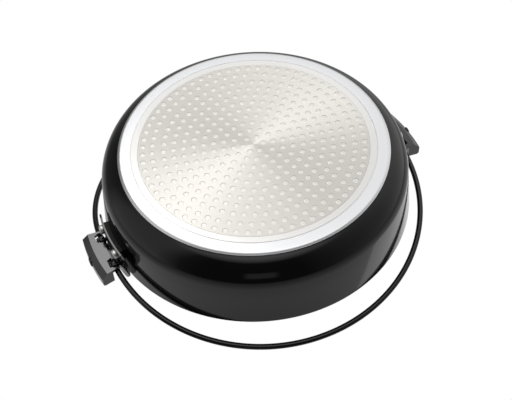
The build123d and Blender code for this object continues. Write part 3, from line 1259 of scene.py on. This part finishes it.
@dataclass
class Bails:
    """The two wire bails with a flat eye at each end."""

    finishes: Finishes
    half_width: float = 139.0
    half_depth: float = 132.6
    centre_shift: float = 1.9
    wire_radius: float = 2.4
    tilt: float = 11.0
    offset: float = 14.5
    height: float = 61.0
    eye_radius: float = 4.6
    eye_hole: float = 2.06
    eye_softness: float = 0.5
    steps: int = 120
    sides: int = 24
    eye_sides: int = 40
    bore_sides: int = 32

    def build(self) -> list[bpy.types.Object]:
        """Models the front bail, turns a copy to the back and dresses both."""
        bail = self.wire()
        for way in (-1, 1):
            join_on(bail, self.eye(way))
            cut_away(bail, self.bore(way))
        smooth(bail, degrees=40.0)
        bail.name = "front_bail_wire"
        bail.data.materials.append(self.finishes.wire_paint)
        twin = copy_of(bail, "back_bail_wire", Ear.LEFT.turn)
        return [
            dress(bail, "front_bail", ["front_bail"]),
            dress(twin, "back_bail", ["back_bail"]),
        ]

    def point_at(self, angle: float) -> Vector:
        """The centre line of the front bail at an angle about its middle."""
        x = self.half_width * math.cos(angle)
        reach = -(self.centre_shift + self.half_depth * math.sin(angle))
        lean = math.radians(self.tilt)
        return Vector((x, -self.offset - reach * math.cos(lean), self.height + reach * math.sin(lean))) * MM

    def way_at(self, angle: float) -> Vector:
        """The direction of the centre line at an angle."""
        step = 0.0005
        return (self.point_at(angle + step) - self.point_at(angle - step)).normalized()

    def wire(self) -> bpy.types.Object:
        """The wire: a round section carried along the bow by extrusion."""
        dip = math.asin(self.centre_shift / self.half_depth)
        first = math.pi + dip
        last = 2 * math.pi - dip
        start, way = self.point_at(first), self.way_at(first)
        turn = Vector((0.0, 0.0, 1.0)).rotation_difference(way)
        deselect_all()
        bpy.ops.mesh.primitive_circle_add(
            vertices=self.sides, radius=self.wire_radius * MM, fill_type="NGON",
            location=start, rotation=turn.to_euler(),
        )
        wire = named_primitive("bail_wire")
        enter_edit(wire, "FACE")
        bpy.ops.mesh.select_all(action="SELECT")
        for step in range(1, self.steps + 1):
            angle = first + (last - first) * step / self.steps
            next_start, next_way = self.point_at(angle), self.way_at(angle)
            bpy.ops.mesh.extrude_region_move(TRANSFORM_OT_translate={"value": next_start - start})
            bend = way.rotation_difference(next_way).to_matrix().to_4x4()
            mesh = bmesh.from_edit_mesh(wire.data)
            held = [point for point in mesh.verts if point.select]
            pivot = Matrix.Translation(next_start) @ bend @ Matrix.Translation(-next_start)
            bmesh.ops.transform(mesh, matrix=pivot, verts=held)
            bmesh.update_edit_mesh(wire.data)
            start, way = next_start, next_way
        leave_edit()
        outward_normals(wire)
        return wire

    def eye(self, way: int) -> bpy.types.Object:
        """The flat round eye at one end."""
        start = (way * self.half_width - self.wire_radius, -self.offset, self.height)
        eye = add_rod("eye", self.eye_radius, start, 2 * self.wire_radius, self.eye_sides)
        soften_edges(eye, self.eye_softness, segments=3, degrees=40.0)
        return eye

    def bore(self, way: int) -> bpy.types.Object:
        """The rod that bores an eye for its pin, longer than the eye at both ends."""
        start = (way * self.half_width - 3 * self.wire_radius, -self.offset, self.height)
        return add_rod("bore", self.eye_hole, start, 6 * self.wire_radius, self.bore_sides)


# Studio


@dataclass(frozen=True)
class Softbox:
    """One soft lamp, placed by directions as the photograph shows them.

    Its distance from the base, its width and its height are in metres.
    """

    name: str
    azimuth: float
    elevation: float
    distance: float
    width: float
    height: float
    radiance: float

    @property
    def power(self) -> float:
        """The lamp's power in watts, from how bright its face is."""
        return self.radiance * math.pi * self.width * self.height


@dataclass
class Studio:
    """Camera, lamps, surroundings and floor.

    The camera's place is in metres. What surrounds the pan is given as grey
    levels by azimuth or elevation, as the photograph shows directions.
    """

    ear_turn: float = 24.3
    camera_place: Point = (0.22300111, -0.49236685, -0.58267783)
    camera_turn: Point = (-140.5279, -2.1796, -153.0558)
    lens: float = 67.47
    sensor_width: float = 36.0
    clip: tuple[float, float] = (0.01, 50.0)
    aim_height: float = 0.03
    softboxes: tuple[Softbox, ...] = (
        Softbox("Overhead softbox", 112.0, 54.5, 1.3, 0.38, 0.38, 3.0),
        Softbox("Back softbox", 84.0, 47.0, 1.4, 1.2, 0.9, 0.24),
        Softbox("Table side softbox", 30.0, -70.0, 1.5, 1.5, 1.5, 0.36),
    )
    round_the_room: tuple[tuple[float, float], ...] = (
        (-180.0, 0.50), (-158.0, 0.50), (-141.0, 0.09), (-130.0, 0.04), (-62.0, 0.04), (-42.0, 0.14),
        (-22.0, 0.26), (0.0, 0.42), (16.0, 0.62), (38.0, 0.80), (62.0, 0.62), (90.0, 0.45),
        (112.0, 0.28), (132.0, 0.12), (152.0, 0.14), (166.0, 0.46), (180.0, 0.50),
    )
    table_edge: tuple[float, float] = (-18.0, -14.0)
    table_levels: tuple[tuple[float, float], ...] = (
        (-90.0, 0.28), (-62.0, 0.30), (-48.0, 0.56), (-16.0, 0.24),
    )
    overhead_edge: tuple[float, float] = (54.0, 84.0)
    overhead_level: float = 1.5
    window_azimuths: tuple[float, float, float, float] = (-101.0, -98.0, -82.0, -79.0)
    window_elevations: tuple[float, float, float, float] = (2.0, 4.5, 19.5, 22.5)
    window_level: float = 0.28
    floor_size: float = 6.0
    floor_gap: float = 0.0004
    floor_paint: float = 0.9
    floor_glow: float = 0.55

    def from_photo(self, azimuth: float, elevation: float, distance: float) -> Vector:
        """Turns a direction as the photograph shows it into the pan's frame.

        Args:
            azimuth: Degrees from the photograph's right, counter-clockwise seen from above it.
            elevation: Degrees above the photograph's level.
            distance: Distance from the base in metres.

        Returns:
            The point in the pan's frame.
        """
        flat = math.cos(math.radians(elevation)) * distance
        x = flat * math.cos(math.radians(azimuth))
        y = flat * math.sin(math.radians(azimuth))
        z = distance * math.sin(math.radians(elevation))
        return Matrix.Rotation(math.radians(self.ear_turn), 3, "Z") @ Vector((-x, y, -z))

    def build(self) -> None:
        """Adds everything around the pan."""
        self.add_camera()
        self.add_world()
        for box in self.softboxes:
            self.add_softbox(box)
        self.add_floor()
        bpy.context.scene.view_settings.view_transform = "Standard"

    def add_camera(self) -> None:
        """The photograph's camera, below the base and looking up at it."""
        data = bpy.data.cameras.new("Photo camera")
        data.lens = self.lens
        data.sensor_width = self.sensor_width
        data.sensor_fit = "HORIZONTAL"
        data.clip_start, data.clip_end = self.clip
        camera = bpy.data.objects.new("Photo camera", data)
        camera.location = self.camera_place
        camera.rotation_euler = [math.radians(angle) for angle in self.camera_turn]
        bpy.context.scene.collection.objects.link(camera)
        bpy.context.scene.camera = camera

    def add_softbox(self, box: Softbox) -> None:
        """One area lamp aimed at the middle of the pan."""
        data = bpy.data.lights.new(box.name, "AREA")
        data.shape = "RECTANGLE"
        data.size = box.width
        data.size_y = box.height
        data.energy = box.power
        lamp = bpy.data.objects.new(box.name, data)
        lamp.location = self.from_photo(box.azimuth, box.elevation, box.distance)
        aim = Vector((0.0, 0.0, self.aim_height)) - lamp.location
        lamp.rotation_euler = aim.to_track_quat("-Z", "Y").to_euler()
        bpy.context.scene.collection.objects.link(lamp)

    def add_world(self) -> None:
        """White to the camera; to the pan a bright table, a dark front and pale sides."""
        world = bpy.data.worlds.new("Studio")
        bpy.context.scene.world = world
        world.use_nodes = True
        sheet = NodeSheet(world.node_tree)
        world.node_tree.nodes.clear()
        output = sheet.add("ShaderNodeOutputWorld")
        place = sheet.add("ShaderNodeTexCoord")
        right, back, up = [
            self.along(sheet, place.outputs["Generated"], self.from_photo(azimuth, elevation, 1.0))
            for azimuth, elevation in ((0.0, 0.0), (90.0, 0.0), (0.0, 90.0))
        ]
        turn = sheet.math("DIVIDE", sheet.math("ARCTAN2", back, right), 2 * math.pi)
        turn = sheet.math("ADD", turn, 0.5)
        height = sheet.math("MULTIPLY", sheet.math("ADD", up, 1.0), 0.5)
        room = [(self.share_of_turn(azimuth), grey(level)) for azimuth, level in self.round_the_room]
        total = sheet.ramp(turn, room).outputs["Color"]
        across = self.band([self.share_of_turn(azimuth) for azimuth in self.window_azimuths])
        upwards = self.band([self.level_of(elevation) for elevation in self.window_elevations])
        window = sheet.math(
            "MULTIPLY",
            sheet.ramp(turn, across).outputs["Color"],
            sheet.ramp(height, upwards).outputs["Color"],
        )
        total = self.blend(sheet, window, total, grey(self.window_level))
        overhead = sheet.ramp(height, self.step(self.overhead_edge))
        total = self.blend(sheet, overhead.outputs["Color"], total, grey(self.overhead_level))
        table_stops = [(self.level_of(elevation), grey(level)) for elevation, level in self.table_levels]
        table = sheet.ramp(height, table_stops)
        above_table = sheet.ramp(height, self.step(self.table_edge))
        total = self.blend(sheet, above_table.outputs["Color"], table.outputs["Color"], total)
        surround = sheet.add("ShaderNodeBackground", None, {"Strength": 1.0})
        sheet.link(total, surround.inputs["Color"])
        white = sheet.add("ShaderNodeBackground", None, {"Color": grey(1.0), "Strength": 1.0})
        path = sheet.add("ShaderNodeLightPath")
        mix = sheet.add("ShaderNodeMixShader")
        sheet.link(path.outputs["Is Camera Ray"], mix.inputs[0])
        sheet.link(surround.outputs[0], mix.inputs[1])
        sheet.link(white.outputs[0], mix.inputs[2])
        sheet.link(mix.outputs[0], output.inputs["Surface"])

    def along(self, sheet: NodeSheet, way: bpy.types.NodeSocket, axis: Vector) -> bpy.types.NodeSocket:
        """How far a direction runs along an axis, from -1 to 1."""
        node = sheet.add("ShaderNodeVectorMath", {"operation": "DOT_PRODUCT"})
        sheet.link(way, node.inputs[0])
        node.inputs[1].default_value = axis
        return node.outputs["Value"]

    def share_of_turn(self, azimuth: float) -> float:
        """Where an azimuth lies between -180 at 0 and 180 at 1."""
        return (azimuth + 180.0) / 360.0

    def level_of(self, elevation: float) -> float:
        """Where an elevation lies between straight down at 0 and straight up at 1."""
        return (math.sin(math.radians(elevation)) + 1.0) / 2

    def step(self, edge: tuple[float, float]) -> list[tuple[float, Colour]]:
        """Ramp stops that rise from 0 to 1 between two elevations."""
        return [(self.level_of(edge[0]), grey(0.0)), (self.level_of(edge[1]), grey(1.0))]

    def band(self, places: Sequence[float]) -> list[tuple[float, Colour]]:
        """Ramp stops that rise to 1 and fall again, at four places."""
        return [(place, grey(level)) for place, level in zip(places, (0.0, 1.0, 1.0, 0.0))]

    def blend(self, sheet: NodeSheet, share: bpy.types.NodeSocket, first: bpy.types.NodeSocket,
              second: bpy.types.NodeSocket | Colour) -> bpy.types.NodeSocket:
        """Mixes two colours by a share.

        Args:
            sheet: The world's nodes.
            share: How much of the second colour there is, from 0 to 1.
            first: The colour at a share of 0.
            second: The colour at a share of 1.

        Returns:
            The mixed colour.
        """
        mix = sheet.add("ShaderNodeMix", {"data_type": "RGBA"})
        # The node has sockets for numbers and vectors too: these are its colours
        colour_a, colour_b, result = mix.inputs[6], mix.inputs[7], mix.outputs[2]
        sheet.link(share, mix.inputs[0])
        sheet.link(first, colour_a)
        if isinstance(second, tuple):
            colour_b.default_value = second
        else:
            sheet.link(second, colour_b)
        return result

    def add_floor(self) -> None:
        """A pale floor under the base, seen only from above it."""
        deselect_all()
        bpy.ops.mesh.primitive_plane_add(size=self.floor_size, location=(0.0, 0.0, -self.floor_gap))
        floor = bpy.context.object
        floor.name = "studio_floor"
        material = bpy.data.materials.new("Studio floor")
        material.use_nodes = True
        sheet = NodeSheet(material.node_tree)
        material.node_tree.nodes.clear()
        output = sheet.add("ShaderNodeOutputMaterial")
        side = sheet.add("ShaderNodeNewGeometry")
        paint = sheet.add("ShaderNodeBsdfDiffuse", None, {"Color": grey(self.floor_paint)})
        glow = sheet.add("ShaderNodeEmission", None, {"Color": grey(1.0), "Strength": self.floor_glow})
        both = sheet.add("ShaderNodeAddShader")
        clear = sheet.add("ShaderNodeBsdfTransparent")
        mix = sheet.add("ShaderNodeMixShader")
        sheet.link(paint.outputs[0], both.inputs[0])
        sheet.link(glow.outputs[0], both.inputs[1])
        sheet.link(side.outputs["Backfacing"], mix.inputs[0])
        sheet.link(both.outputs[0], mix.inputs[1])
        sheet.link(clear.outputs[0], mix.inputs[2])
        sheet.link(mix.outputs[0], output.inputs["Surface"])
        floor.data.materials.append(material)
        floor.visible_diffuse = False
        floor.visible_glossy = False
        floor.visible_transmission = False
        floor.visible_shadow = False


def main() -> None:
    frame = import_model()
    Studio().build()
    finishes = Finishes(SharedEffects())
    pieces = PanBody(finishes).build()
    InductionDisc(finishes).build(frame["nodes"]["induction_disc"])
    pieces += EarBracket(finishes).build()
    pieces += BracketRivets(finishes).build()
    pieces += GripBlock(finishes).build()
    pieces += GripScrews(finishes).build()
    pieces += PivotPins(finishes).build()
    pieces += Bails(finishes).build()
    deselect_all()
    log.info("%d new pieces made, sizes written", len(pieces))


if __name__ == "__main__":
    main()
